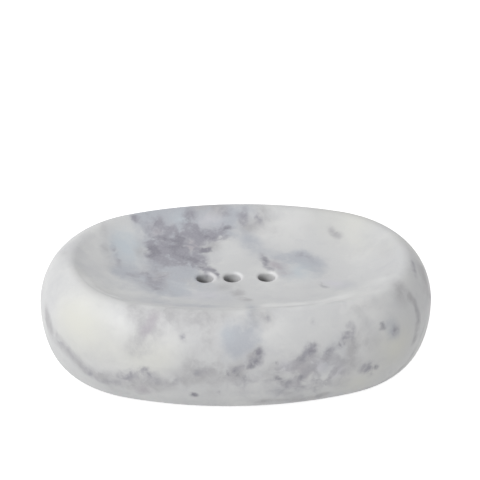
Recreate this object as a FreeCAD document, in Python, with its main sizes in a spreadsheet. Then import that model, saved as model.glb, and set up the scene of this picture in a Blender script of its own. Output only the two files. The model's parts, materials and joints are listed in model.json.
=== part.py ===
import FreeCAD, Part
import math
import os
import Sketcher

# A carved marble soap dish: one oval block with a scooped top, drained by three drilled holes,
# standing on four soft bumpers that are stuck to its base.
# In millimetres: X along the dish, Y towards its back, Z up, origin on the table under the middle
# of the dish.

# Driving dimensions
DIMENSIONS = {
    "dish_length": 140.0,
    "dish_width": 93.5,
    "stone_height": 38.0,
    "end_undersize": 4.75,
    "waist_height": 19.2,
    "shoulder_reach": 14.0,
    "base_reach": 7.8,
    "scoop_shift": 1.5,
    "scoop_depth": 9.7,
    "rim_width": 9.7,
    "rim_round": 3.5,
    "floor_width": 13.0,
    "floor_end_radius": 3.0,
    "scoop_cut_over": 2.0,
    "drain_diameter": 6.0,
    "drain_pitch": 11.0,
    "drain_drift": -1.3,
    "drain_mouth_round": 1.1,
    "drain_exit_bevel": 0.5,
    "foot_diameter": 10.0,
    "foot_height": 1.8,
    "foot_taper": 0.7,
    "foot_edge_round": 0.4,
    "foot_inset_x": 24.0,
    "foot_inset_y": 20.0,
    "adhesive_thickness": 0.2,
    "adhesive_margin": 0.2,
}


def side_radius(oval):
    """The radius of an oval's side arcs, which run smoothly into its end arcs."""
    width, end = f"{oval}_half_width", f"{oval}_end_radius"
    return f"=({oval}_reach^2 + {width}^2 - {end}^2) / (2 * ({width} - {end}))"


# Sizes that follow from the driving dimensions
DERIVED = {
    "base_level": "=foot_height + adhesive_thickness",
    "waist_level": "=base_level + waist_height",
    "top_level": "=base_level + stone_height",
    "floor_level": "=top_level - scoop_depth",
    "half_length": "=dish_length / 2",
    "half_width": "=dish_width / 2",
    "end_radius": "=half_width - end_undersize",
    "core_half_width": "=half_width - shoulder_reach",
    "core_end_radius": "=end_radius - shoulder_reach",
    "core_reach": "=half_length - end_radius",
    "core_side_radius": side_radius("core"),
    "scoop_half_length": "=half_length - rim_width",
    "scoop_half_width": "=half_width - rim_width",
    "wall_reach": "=scoop_half_width - floor_width / 2",
    "wall_radius": "=(wall_reach^2 + scoop_depth^2) / (2 * scoop_depth)",
    "floor_half_width": "=floor_width / 2",
    "floor_half_length": "=scoop_half_length - wall_reach",
    "floor_reach": "=floor_half_length - floor_end_radius",
    "floor_side_radius": side_radius("floor"),
    "drain_radius": "=drain_diameter / 2",
    "foot_x": "=half_length - base_reach - foot_inset_x",
    "foot_y": "=half_width - base_reach - foot_inset_y",
    "foot_radius": "=foot_diameter / 2",
    "sole_radius": "=foot_radius - foot_taper",
    "adhesive_radius": "=foot_radius - adhesive_margin",
}

CORNERS = {
    "front_left": (-1, -1),
    "front_right": (1, -1),
    "back_left": (-1, 1),
    "back_right": (1, 1),
}

# Points of a drawn line or arc, and the drawing's own axis and origin
START, END, CENTRE = 1, 2, 3
X_AXIS = -1
ORIGIN_POINT = (-1, 1)

# How edges are told apart
LEVEL_TOLERANCE = 1e-4
SURFACE_TOLERANCE = 1e-3
SHARP_ANGLE = math.radians(10)
EDGE_SAMPLES = 9

FULL_TURN = 360


def make_sheet(doc):
    """Write the driving and derived sizes into the sheet that every feature reads."""
    sheet = doc.addObject("Spreadsheet::Sheet", "dims")
    for row, (alias, value) in enumerate([*DIMENSIONS.items(), *DERIVED.items()], start=1):
        sheet.set(f"A{row}", alias)
        sheet.set(f"B{row}", str(value))
        sheet.setAlias(f"B{row}", alias)
    doc.recompute()
    return sheet


def origin_plane(body, role):
    """The body's own origin plane with this role."""
    return next(f for f in body.Origin.OriginFeatures if f.Role == role)


def new_sketch(body, name, role, level=None, shift=None):
    """An empty sketch on an origin plane, lifted and moved along X by sizes from the sheet."""
    sketch = body.newObject("Sketcher::SketchObject", name)
    sketch.AttachmentSupport = (origin_plane(body, role), [""])
    sketch.MapMode = "FlatFace"
    if level:
        sketch.setExpression("AttachmentOffset.Base.z", f"dims.{level}")
    if shift:
        sketch.setExpression("AttachmentOffset.Base.x", f"dims.{shift}")
    return sketch


def drive(sketch, name, expression, *constraint):
    """Add a named sketch dimension and bind it to the sheet."""
    index = sketch.addConstraint(Sketcher.Constraint(*constraint))
    sketch.renameConstraint(index, name)
    sketch.setExpression(f"Constraints.{name}", expression)


def oval_plan(sketch, sheet, name):
    """Draw an oval: two end arcs and two side arcs, tangent, with the named sizes of the sheet."""
    half_width, end, side, reach = (
        sheet.getPropertyByName(f"{name}_{size}")
        for size in ("half_width", "end_radius", "side_radius", "reach")
    )
    drop = side - half_width
    turn = math.atan2(drop, reach)
    up = FreeCAD.Vector(0, 0, 1)

    def arc(centre_x, centre_y, radius, start, stop):
        circle = Part.Circle(FreeCAD.Vector(centre_x, centre_y, 0), up, radius)
        return sketch.addGeometry(Part.ArcOfCircle(circle, start, stop), False)

    right = arc(reach, 0, end, -turn, turn)
    back = arc(0, -drop, side, turn, math.pi - turn)
    left = arc(-reach, 0, end, math.pi - turn, math.pi + turn)
    front = arc(0, drop, side, math.pi + turn, 2 * math.pi - turn)

    ring = [right, back, left, front]
    for here, following in zip(ring, ring[1:] + ring[:1]):
        sketch.addConstraint(Sketcher.Constraint("Tangent", here, END, following, START))
    sketch.addConstraint(Sketcher.Constraint("Equal", right, left))
    sketch.addConstraint(Sketcher.Constraint("Equal", back, front))
    sketch.addConstraint(Sketcher.Constraint("PointOnObject", right, CENTRE, X_AXIS))
    sketch.addConstraint(Sketcher.Constraint("PointOnObject", left, CENTRE, X_AXIS))
    drive(sketch, "end_arc", f"dims.{name}_end_radius", "Radius", right, end)
    drive(sketch, "side_arc", f"dims.{name}_side_radius", "Radius", back, side)
    drive(sketch, "right_reach", f"dims.{name}_reach", "DistanceX", *ORIGIN_POINT, right, CENTRE, reach)
    drive(sketch, "left_reach", f"dims.{name}_reach", "DistanceX", left, CENTRE, *ORIGIN_POINT, reach)


def quarter_ellipse(sketch, centre_x, centre_y, reach, rise):
    """Add a quarter of an ellipse between its outermost point and its top, or its lowest point."""
    across = FreeCAD.Vector(reach, 0, 0)
    along = FreeCAD.Vector(0, abs(rise), 0)
    centre = FreeCAD.Vector(centre_x, centre_y, 0)
    upright = abs(rise) > reach
    major, minor = (along, -across) if upright else (across, along)
    ellipse = Part.Ellipse(centre + major, centre + minor, centre)
    start = 0 if rise > 0 else 3 * math.pi / 2
    if upright:
        start -= math.pi / 2
    return sketch.addGeometry(Part.ArcOfEllipse(ellipse, start, start + math.pi / 2), False)


def side_section(sketch, sheet):
    """Draw the section of the side: a long curve under the waist and a fuller shoulder above it."""
    shoulder_x = sheet.half_length - sheet.shoulder_reach
    base_x = sheet.half_length - sheet.base_reach
    rise = sheet.stone_height - sheet.waist_height
    shoulder = quarter_ellipse(sketch, shoulder_x, sheet.waist_level, sheet.shoulder_reach, rise)
    below = quarter_ellipse(sketch, base_x, sheet.waist_level, sheet.base_reach, -sheet.waist_height)
    crest = FreeCAD.Vector(shoulder_x, sheet.top_level, 0)
    foot = FreeCAD.Vector(shoulder_x, sheet.base_level, 0)
    heel = FreeCAD.Vector(base_x, sheet.base_level, 0)
    inner = sketch.addGeometry(Part.LineSegment(crest, foot), False)
    sole = sketch.addGeometry(Part.LineSegment(foot, heel), False)

    sketch.addConstraint(Sketcher.Constraint("Coincident", shoulder, START, below, END))
    sketch.addConstraint(Sketcher.Constraint("Perpendicular", shoulder, END, inner, START))
    sketch.addConstraint(Sketcher.Constraint("Coincident", inner, END, sole, START))
    sketch.addConstraint(Sketcher.Constraint("Tangent", sole, END, below, START))
    sketch.addConstraint(Sketcher.Constraint("Vertical", inner))
    sketch.addConstraint(Sketcher.Constraint("Horizontal", sole))
    sketch.addConstraint(Sketcher.Constraint("Horizontal", shoulder, START, shoulder, CENTRE))
    sketch.addConstraint(Sketcher.Constraint("Horizontal", below, END, below, CENTRE))
    sketch.addConstraint(Sketcher.Constraint("Vertical", shoulder, END, shoulder, CENTRE))
    sketch.addConstraint(Sketcher.Constraint("Vertical", below, START, below, CENTRE))
    crown = (shoulder, CENTRE, shoulder, START)
    heel_reach = (below, CENTRE, below, END)
    drive(sketch, "girth", "dims.half_length", "DistanceX", *ORIGIN_POINT, shoulder, START, sheet.half_length)
    drive(sketch, "waist", "dims.waist_level", "DistanceY", *ORIGIN_POINT, shoulder, START, sheet.waist_level)
    drive(sketch, "top", "dims.top_level", "DistanceY", *ORIGIN_POINT, inner, START, sheet.top_level)
    drive(sketch, "base", "dims.base_level", "DistanceY", *ORIGIN_POINT, sole, START, sheet.base_level)
    drive(sketch, "crown", "dims.shoulder_reach", "DistanceX", *crown, sheet.shoulder_reach)
    drive(sketch, "heel", "dims.base_reach", "DistanceX", *heel_reach, sheet.base_reach)


def wall_section(sketch, sheet):
    """Draw the section cut from the scoop: one round wall that lifts off the floor up to the rim."""
    inner_x = sheet.floor_half_length
    outer_x = sheet.scoop_half_length
    over = sheet.top_level + sheet.scoop_cut_over
    centre = FreeCAD.Vector(inner_x, sheet.floor_level + sheet.wall_radius, 0)
    circle = Part.Circle(centre, FreeCAD.Vector(0, 0, 1), sheet.wall_radius)
    start = -math.pi / 2
    sweep_angle = math.asin(sheet.wall_reach / sheet.wall_radius)
    wall = sketch.addGeometry(Part.ArcOfCircle(circle, start, start + sweep_angle), False)
    points = [(outer_x, sheet.top_level), (outer_x, over), (inner_x, over), (inner_x, sheet.floor_level)]
    corners = [FreeCAD.Vector(x, y, 0) for x, y in points]
    lip, cover, inner = (
        sketch.addGeometry(Part.LineSegment(start, stop), False) for start, stop in zip(corners, corners[1:])
    )

    sketch.addConstraint(Sketcher.Constraint("Coincident", wall, END, lip, START))
    sketch.addConstraint(Sketcher.Constraint("Coincident", lip, END, cover, START))
    sketch.addConstraint(Sketcher.Constraint("Coincident", cover, END, inner, START))
    sketch.addConstraint(Sketcher.Constraint("Perpendicular", inner, END, wall, START))
    sketch.addConstraint(Sketcher.Constraint("Vertical", lip))
    sketch.addConstraint(Sketcher.Constraint("Horizontal", cover))
    sketch.addConstraint(Sketcher.Constraint("Vertical", inner))
    drive(sketch, "floor", "dims.floor_half_length", "DistanceX", *ORIGIN_POINT, inner, END, inner_x)
    drive(sketch, "rim", "dims.scoop_half_length", "DistanceX", *ORIGIN_POINT, wall, END, outer_x)
    drive(sketch, "level", "dims.floor_level", "DistanceY", *ORIGIN_POINT, wall, START, sheet.floor_level)
    drive(sketch, "top", "dims.top_level", "DistanceY", *ORIGIN_POINT, wall, END, sheet.top_level)
    drive(sketch, "over", "dims.scoop_cut_over", "DistanceY", lip, START, lip, END, sheet.scoop_cut_over)


def edges_where(shape, test):
    """The names of the edges of a shape whose sampled points all pass a test."""
    names = []
    for index, edge in enumerate(shape.Edges, start=1):
        if edge.Length > LEVEL_TOLERANCE and all(test(p) for p in edge.discretize(EDGE_SAMPLES)):
            names.append(f"Edge{index}")
    return names


def sharp_edges(shape, test):
    """The names of the edges that pass a test and where two faces meet at an angle."""
    names = []
    for name in edges_where(shape, test):
        edge = shape.getElement(name)
        faces = shape.ancestorsOfType(edge, Part.Face)
        middle = edge.valueAt((edge.FirstParameter + edge.LastParameter) / 2)
        normals = [face.normalAt(*face.Surface.parameter(middle)) for face in faces]
        if len(normals) == 2 and normals[0].getAngle(normals[1]) > SHARP_ANGLE:
            names.append(name)
    return names


def at_level(level):
    """A test for points at one height."""
    return lambda point: abs(point.z - level) < LEVEL_TOLERANCE


def ease(body, kind, name, base, edges, prop, expression):
    """Add a fillet or a chamfer on the named edges, its size bound to the sheet."""
    feature = body.newObject(f"PartDesign::{kind}", name)
    feature.Base = (base, edges)
    feature.setExpression(prop, expression)
    body.Document.recompute()
    return feature


def sweep(body, kind, name, section, path):
    """Carry a section round a closed path, adding to the body or cutting from it."""
    feature = body.newObject(f"PartDesign::{kind}", name)
    feature.Profile = section
    feature.Spine = (path, [])
    body.Document.recompute()
    return feature


def make_block(doc, sheet, body):
    """The uncut block: an upright core with the curved side swept round it."""
    core_plan = new_sketch(body, "core_plan", "XY_Plane", "base_level")
    oval_plan(core_plan, sheet, "core")
    core = body.newObject("PartDesign::Pad", "core")
    core.Profile = core_plan
    core.setExpression("Length", "dims.stone_height")
    section = new_sketch(body, "side_section", "XZ_Plane")
    side_section(section, sheet)
    doc.recompute()
    sweep(body, "AdditivePipe", "side", section, core_plan)


def cut_scoop(doc, sheet, body):
    """The hollow for the soap: a narrow flat floor, a wall swept round it and a rounded rim."""
    floor_plan = new_sketch(body, "floor_plan", "XY_Plane", "top_level", "scoop_shift")
    oval_plan(floor_plan, sheet, "floor")
    floor = body.newObject("PartDesign::Pocket", "floor")
    floor.Profile = floor_plan
    floor.setExpression("Length", "dims.scoop_depth")
    section = new_sketch(body, "wall_section", "XZ_Plane", shift="scoop_shift")
    wall_section(section, sheet)
    doc.recompute()
    wall = sweep(body, "SubtractivePipe", "wall", section, floor_plan)
    middle = sheet.top_level - sheet.scoop_depth / 2
    rim = sharp_edges(wall.Shape, lambda point: point.z > middle)
    ease(body, "Fillet", "rim", wall, rim, "Radius", "dims.rim_round")


def drill_drains(doc, sheet, body):
    """Three holes down through the floor, rounded at the mouth and bevelled where they come out."""
    plan = new_sketch(body, "drain_plan", "XY_Plane", "base_level")
    places = {
        "left": ("-dims.drain_pitch", -sheet.drain_pitch),
        "middle": ("dims.drain_drift", sheet.drain_drift),
        "right": ("dims.drain_pitch", sheet.drain_pitch),
    }
    for side, (expression, place) in places.items():
        circle = Part.Circle(FreeCAD.Vector(place, 0, 0), FreeCAD.Vector(0, 0, 1), sheet.drain_radius)
        index = plan.addGeometry(circle, False)
        plan.addConstraint(Sketcher.Constraint("PointOnObject", index, CENTRE, X_AXIS))
        drive(plan, f"{side}_bore", "dims.drain_radius", "Radius", index, sheet.drain_radius)
        drive(plan, f"{side}_place", expression, "DistanceX", *ORIGIN_POINT, index, CENTRE, place)
    drains = body.newObject("PartDesign::Pocket", "drains")
    drains.Profile = plan
    drains.Type = "ThroughAll"
    drains.Reversed = True
    doc.recompute()

    def at_drain(point):
        """Is a point on the wall of one of the holes?"""
        spans = (math.hypot(point.x - place, point.y) for _, place in places.values())
        return any(abs(span - sheet.drain_radius) < SURFACE_TOLERANCE for span in spans)

    on_floor = at_level(sheet.floor_level)
    mouths = edges_where(drains.Shape, lambda point: at_drain(point) and on_floor(point))
    eased = ease(body, "Fillet", "drain_mouths", drains, mouths, "Radius", "dims.drain_mouth_round")
    on_base = at_level(sheet.base_level)
    exits = edges_where(eased.Shape, lambda point: at_drain(point) and on_base(point))
    ease(body, "Chamfer", "drain_exits", eased, exits, "Size", "dims.drain_exit_bevel")


def make_stone(doc, sheet):
    """The marble block, scooped out and drilled."""
    body = doc.addObject("PartDesign::Body", "stone_dish")
    body.Label = "stone_dish"
    make_block(doc, sheet, body)
    cut_scoop(doc, sheet, body)
    drill_drains(doc, sheet, body)
    return body


def make_foot(doc, sheet, corner, sign_x, sign_y):
    """One soft bumper: a disc that narrows to the table, with its lower edge rounded."""
    body = doc.addObject("PartDesign::Body", f"foot_{corner}")
    body.Label = f"foot_{corner}"

    profile = new_sketch(body, f"foot_profile_{corner}", "XZ_Plane")
    points = [(0, 0), (sheet.sole_radius, 0), (sheet.foot_radius, sheet.foot_height), (0, sheet.foot_height)]
    corners = [FreeCAD.Vector(x, y, 0) for x, y in points]
    lines = []
    for start, stop in zip(corners, corners[1:] + corners[:1]):
        lines.append(profile.addGeometry(Part.LineSegment(start, stop), False))
    for here, following in zip(lines, lines[1:] + lines[:1]):
        profile.addConstraint(Sketcher.Constraint("Coincident", here, END, following, START))
    sole, _, seat, axis = lines
    profile.addConstraint(Sketcher.Constraint("Coincident", sole, START, *ORIGIN_POINT))
    profile.addConstraint(Sketcher.Constraint("Horizontal", sole))
    profile.addConstraint(Sketcher.Constraint("Horizontal", seat))
    profile.addConstraint(Sketcher.Constraint("Vertical", axis))
    drive(profile, "sole_radius", "dims.sole_radius", "DistanceX", sole, START, sole, END, sheet.sole_radius)
    drive(profile, "seat_radius", "dims.foot_radius", "DistanceX", seat, END, seat, START, sheet.foot_radius)
    drive(profile, "height", "dims.foot_height", "DistanceY", axis, END, axis, START, sheet.foot_height)

    turned = body.newObject("PartDesign::Revolution", f"foot_turned_{corner}")
    turned.Profile = profile
    turned.ReferenceAxis = (profile, ["V_Axis"])
    turned.Angle = FULL_TURN
    doc.recompute()
    ground = edges_where(turned.Shape, at_level(0))
    ease(body, "Fillet", f"foot_edge_{corner}", turned, ground, "Radius", "dims.foot_edge_round")

    body.setExpression("Placement.Base.x", f"{sign_x} * dims.foot_x")
    body.setExpression("Placement.Base.y", f"{sign_y} * dims.foot_y")
    return body


def make_adhesive(doc, corner, sign_x, sign_y):
    """The thin disc that bonds a bumper to the base of the stone."""
    disc = doc.addObject("Part::Cylinder", f"adhesive_{corner}")
    disc.Label = f"adhesive_{corner}"
    disc.setExpression("Radius", "dims.adhesive_radius")
    disc.setExpression("Height", "dims.adhesive_thickness")
    disc.setExpression("Placement.Base.x", f"{sign_x} * dims.foot_x")
    disc.setExpression("Placement.Base.y", f"{sign_y} * dims.foot_y")
    disc.setExpression("Placement.Base.z", "dims.foot_height")
    return disc


def export(doc, parts):
    """Stop at any broken feature, then write each part to a file named after it."""
    doc.recompute()
    for item in doc.Objects:
        if "Invalid" in item.State or "Error" in item.State:
            raise RuntimeError(f"{item.Label} did not compute")
    os.makedirs("parts", exist_ok=True)
    for part in parts:
        if part.Shape.isNull() or not part.Shape.isValid():
            raise RuntimeError(f"{part.Label} is not a valid solid")
        part.Shape.exportStep(f"parts/{part.Label}.step")


def main():
    doc = FreeCAD.newDocument("soap_dish")
    sheet = make_sheet(doc)
    parts = [make_stone(doc, sheet)]
    for corner, (sign_x, sign_y) in CORNERS.items():
        parts.append(make_foot(doc, sheet, corner, sign_x, sign_y))
        parts.append(make_adhesive(doc, corner, sign_x, sign_y))
    export(doc, parts)


main()
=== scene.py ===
"""A honed marble soap dish on a white table, dressed over its solids."""

import json
import logging
import math
from dataclasses import dataclass
from enum import Enum
from typing import Any, Dict, Iterator, List, Mapping, Sequence, Tuple, Union

import bmesh
import bpy
from mathutils import Matrix, Vector
from mathutils.bvhtree import BVHTree

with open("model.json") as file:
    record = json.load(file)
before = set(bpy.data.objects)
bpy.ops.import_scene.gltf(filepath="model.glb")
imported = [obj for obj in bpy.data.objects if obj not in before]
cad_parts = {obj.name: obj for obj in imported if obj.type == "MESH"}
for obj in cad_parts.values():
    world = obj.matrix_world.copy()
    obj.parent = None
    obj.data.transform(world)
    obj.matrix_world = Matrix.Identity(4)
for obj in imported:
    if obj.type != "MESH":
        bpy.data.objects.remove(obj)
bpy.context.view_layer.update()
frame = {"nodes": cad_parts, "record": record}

LOG = logging.getLogger("soap_dish")
MM = 0.001  # One millimetre in metres
FAR = 1.0  # Well outside the dish, in metres
NOISE_MEAN = 0.5

Colour = Tuple[float, float, float]
Point = Tuple[float, float]
Range = Tuple[float, float]
Socket = Union[int, str]

BLACK: Colour = (0.0, 0.0, 0.0)
WHITE: Colour = (1.0, 1.0, 1.0)
IN_PLAN = (1.0, 1.0, 0.0)  # Keeps the X and Y of a place and drops its height


class Value:
    """A socket that changes over a surface, so that shader maths reads as arithmetic."""

    def __init__(self, shader: "Shader", socket: bpy.types.NodeSocket) -> None:
        """Keep the socket and the shader it belongs to."""
        self.shader = shader
        self.socket = socket

    def _math(self, operation: str, first: "Operand", second: "Operand") -> "Value":
        """Add one Math node."""
        return self.shader.node("ShaderNodeMath", {"operation": operation}, {0: first, 1: second})

    def __add__(self, other: "Operand") -> "Value":
        """This plus the other."""
        return self._math("ADD", self, other)

    def __radd__(self, other: "Operand") -> "Value":
        """The other plus this."""
        return self._math("ADD", other, self)

    def __sub__(self, other: "Operand") -> "Value":
        """This less the other."""
        return self._math("SUBTRACT", self, other)

    def __rsub__(self, other: "Operand") -> "Value":
        """The other less this."""
        return self._math("SUBTRACT", other, self)

    def __mul__(self, other: "Operand") -> "Value":
        """This times the other."""
        return self._math("MULTIPLY", self, other)

    def __rmul__(self, other: "Operand") -> "Value":
        """The other times this."""
        return self._math("MULTIPLY", other, self)

    def rise(self, low: float, high: float) -> "Value":
        """A soft step from 0 at low to 1 at high.

        Args:
            low: Where the step starts.
            high: Where it ends.

        Returns:
            The step, between 0 and 1.
        """
        settings = {"interpolation_type": "SMOOTHSTEP", "clamp": True}
        inputs = {"Value": self, "From Min": low, "From Max": high}
        return self.shader.node("ShaderNodeMapRange", settings, inputs)


Operand = Union[float, Value]
Paint = Union[Colour, Value]


class Layers(Enum):
    """How a noise is made up: how many finer layers it holds, and how strong they are."""

    SMOOTH = (3.0, 0.5)
    SOFT = (4.0, 0.55)
    CRISP = (3.0, 0.6)
    PATCHY = (5.0, 0.6)


@dataclass(frozen=True)
class Wave:
    """Waves that push a place about, so that what is drawn there gets uneven edges.

    Args:
        span: The size of a wave in millimetres.
        reach: How far it pushes, in millimetres.
    """

    span: float
    reach: float


class Shader:
    """A node tree being built round its main node."""

    # A Mix node's colour sockets share their names with others, so they go by number
    MIX_SHARE = 0
    MIX_UNDER = 6
    MIX_OVER = 7
    MIX_RESULT = 2

    def __init__(self, owner: Union[bpy.types.Material, bpy.types.World], main: str) -> None:
        """Start the tree.

        Args:
            owner: What the tree belongs to.
            main: The name of the node that the rest feeds.
        """
        owner.use_nodes = True
        self.tree = owner.node_tree
        self.main = self.tree.nodes[main]

    def node(self, kind: str, settings: Mapping[str, Any], inputs: Mapping[Socket, Any],
             output: Socket = 0) -> Value:
        """Add a node, set it up, then fill or link its sockets.

        Args:
            kind: The node's type.
            settings: What is set on the node itself, before its sockets.
            inputs: Numbers, colours or links by socket.
            output: The socket to hand back.

        Returns:
            The chosen output.
        """
        made = self.tree.nodes.new(kind)
        for name, setting in settings.items():
            setattr(made, name, setting)
        for socket, source in inputs.items():
            self.feed(made.inputs[socket], source)
        return Value(self, made.outputs[output])

    def feed(self, socket: bpy.types.NodeSocket, source: Any) -> None:
        """Link a value to a socket, or set a number, colour or vector on it.

        Args:
            socket: The socket to fill.
            source: A value to link, or what to set.
        """
        if isinstance(source, Value):
            self.tree.links.new(source.socket, socket)
        elif isinstance(source, (int, float)):
            socket.default_value = source
        else:
            socket.default_value = (*source, 1.0)[:len(socket.default_value)]

    def finish(self, sockets: Mapping[str, Any]) -> None:
        """Fill sockets of the main node with values, numbers or colours."""
        for name, source in sockets.items():
            self.feed(self.main.inputs[name], source)

    def vector(self, operation: str, sources: Sequence[Any], output: Socket = 0) -> Value:
        """Work on places or directions with one Vector Math node."""
        return self.node("ShaderNodeVectorMath", {"operation": operation}, dict(enumerate(sources)), output)

    def seen(self) -> Value:
        """Tell which rays show the background: straight, mirrored or through something clear.

        Returns:
            1 for such a ray, 0 for a ray that only brings light.
        """
        kinds = ("Is Camera Ray", "Is Glossy Ray", "Is Transmission Ray")
        straight, mirrored, through = (self.node("ShaderNodeLightPath", {}, {}, kind) for kind in kinds)
        return straight + mirrored + through

    def position(self) -> Value:
        """The place on the piece in millimetres."""
        place = self.node("ShaderNodeTexCoord", {}, {}, "Object")
        return self.vector("MULTIPLY", (place, (1 / MM,) * 3))

    def noise(self, place: Value, span: float, layers: Layers = Layers.SOFT, output: str = "Fac") -> Value:
        """Noise whose lumps are about one span across.

        Args:
            place: Where on the piece, in millimetres.
            span: The size of a lump in millimetres.
            layers: How it is made up.
            output: Fac for a number, Color for a direction.

        Returns:
            The noise, from 0 to 1.
        """
        detail, rough = layers.value
        inputs = {"Vector": place, "Scale": 1 / span, "Detail": detail, "Roughness": rough}
        return self.node("ShaderNodeTexNoise", {"noise_dimensions": "3D"}, inputs, output)

    def drift(self, place: Value, wave: Wave) -> Value:
        """Push a place about.

        Args:
            place: Where on the piece, in millimetres.
            wave: The waves that push it.

        Returns:
            The moved place.
        """
        push = self.noise(place, wave.span, Layers.SMOOTH, "Color")
        centred = self.vector("SUBTRACT", (push, (NOISE_MEAN,) * 3))
        return self.vector("MULTIPLY_ADD", (centred, (2 * wave.reach,) * 3, place))

    def mix(self, share: Operand, under: Paint, over: Paint) -> Value:
        """Lay a share of one colour over another."""
        inputs = {self.MIX_SHARE: share, self.MIX_UNDER: under, self.MIX_OVER: over}
        return self.node("ShaderNodeMix", {"data_type": "RGBA"}, inputs, self.MIX_RESULT)

    def bump(self, height: Value, distance: float, strength: float) -> Value:
        """A normal tilted by a height, where a height of 1 stands for the distance in metres."""
        inputs = {"Height": height, "Distance": distance, "Strength": strength}
        return self.node("ShaderNodeBump", {}, inputs, "Normal")


def material(name: str) -> Tuple[bpy.types.Material, Shader]:
    """A new material and its shader.

    Args:
        name: The material's name.

    Returns:
        The material, and the shader that builds it.
    """
    made = bpy.data.materials.new(name)
    return made, Shader(made, "Principled BSDF")


def direction(azimuth: float, elevation: float) -> Vector:
    """The way from the dish to something round it.

    Args:
        azimuth: In degrees from the front towards the right.
        elevation: In degrees above the table.

    Returns:
        A unit vector.
    """
    turn, lift = math.radians(azimuth), math.radians(elevation)
    return Vector((math.sin(turn) * math.cos(lift), -math.cos(turn) * math.cos(lift), math.sin(lift)))


@dataclass(frozen=True)
class Shot:
    """The camera in front of the dish, a little above it.

    Args:
        yaw: Where it stands, in degrees from the front towards the right.
        elevation: How high it stands, in degrees.
        distance: How far it is from the middle of the dish, in metres.
        lens: Its focal length in millimetres.
        sensor: The width of its picture in millimetres.
        picture: The width of the picture in pixels.
        middle: The middle of the dish, in metres.
        aim_right: How far to the right of the middle it aims, in metres.
        aim_up: How far above the middle it aims, in metres.
    """

    yaw: float = -1.8547
    elevation: float = 32.0
    distance: float = 0.8
    lens: float = 166.99
    sensor: float = 36.0
    picture: int = 480
    middle: Tuple[float, float, float] = (0.0, 0.0, 0.020)
    aim_right: float = 0.00149
    aim_up: float = 0.02201

    def place(self) -> Vector:
        """Where the camera stands."""
        return Vector(self.middle) + direction(self.yaw, self.elevation) * self.distance

    def turn(self) -> Matrix:
        """Turn the camera to its aim.

        Returns:
            Its axes: to the right, up and back.
        """
        back = direction(self.yaw, self.elevation)
        right = Vector((0, 0, 1)).cross(back).normalized()
        target = Vector(self.middle) + right * self.aim_right + back.cross(right) * self.aim_up
        return (target - self.place()).to_track_quat("-Z", "Y").to_matrix()

    def ray(self, across: float, down: float) -> Tuple[Vector, Vector]:
        """The line of sight through a pixel.

        Args:
            across: Pixels from the left of the picture.
            down: Pixels from its top.

        Returns:
            Where the line starts and where it points.
        """
        reach = self.lens / self.sensor * self.picture
        half = self.picture / 2
        return self.place(), self.turn() @ Vector((across - half, half - down, -reach)).normalized()

    def build(self) -> None:
        """Stand the camera there."""
        camera = bpy.data.cameras.new("camera")
        camera.lens = self.lens
        camera.sensor_width = self.sensor
        held = bpy.data.objects.new("camera", camera)
        bpy.context.scene.collection.objects.link(held)
        held.matrix_world = Matrix.Translation(self.place()) @ self.turn().to_4x4()
        bpy.context.scene.camera = held


SHOT = Shot()


class View(Enum):
    """A look at the block, on which marks in the stone are drawn."""

    SHOT = "shot"
    BACK = "back"
    LEFT = "left"
    RIGHT = "right"
    BASE = "base"

    def ray(self, across: float, along: float) -> Tuple[Vector, Vector]:
        """A line of sight in metres.

        Args:
            across: Pixels from the left in the shot, X from the back or below, Y from an end.
            along: Pixels from the top in the shot, Y from below, Z from the back or an end.

        Returns:
            Where the line starts and where it points.
        """
        if self is View.SHOT:
            return SHOT.ray(across, along)
        first, second = across * MM, along * MM
        start, heading = {
            View.BASE: ((first, second, -FAR), (0, 0, 1)),
            View.BACK: ((first, FAR, second), (0, -1, 0)),
            View.LEFT: ((-FAR, first, second), (1, 0, 0)),
            View.RIGHT: ((FAR, first, second), (-1, 0, 0)),
        }[self]
        return Vector(start), Vector(heading)


class Tone(Enum):
    """A colour that runs through the white of the stone; the pale tone also paints highlights, and the dusk
    tone also paints shade.
    """

    IVORY = "ivory"
    PALE_AND_HIGHLIGHT = "snow"
    VEIL = "veil"
    DUSK_AND_SHADE = "dusk"
    MIST = "mist"
    LILAC = "lilac"
    BLUSH = "blush"
    WEB = "web"
    SMOKE = "smoke"
    INK = "ink"


@dataclass(frozen=True)
class Spindle:
    """One spindle of a mark, seated in the stone.

    Args:
        weight: Its strength in the middle, up to 1.
        centre: Its middle in millimetres.
        turn: Its axes: along the mark, across it and into the stone.
        reach: Its half sizes on those axes in millimetres.
    """

    weight: float
    centre: Vector
    turn: Matrix
    reach: Vector

    def strength(self, shader: Shader, place: Value) -> Value:
        """How strong it is at a place.

        Args:
            shader: The material.
            place: Where on the piece, in millimetres.

        Returns:
            Its weight in the middle, falling to 0 at its skin.
        """
        seat = {"Location": self.centre, "Rotation": self.turn.to_euler(), "Scale": self.reach}
        inside = shader.node("ShaderNodeMapping", {"vector_type": "TEXTURE"}, {"Vector": place, **seat})
        ball = {"gradient_type": "SPHERICAL"}
        return self.weight * shader.node("ShaderNodeTexGradient", ball, {"Vector": inside}, "Fac")


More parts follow.
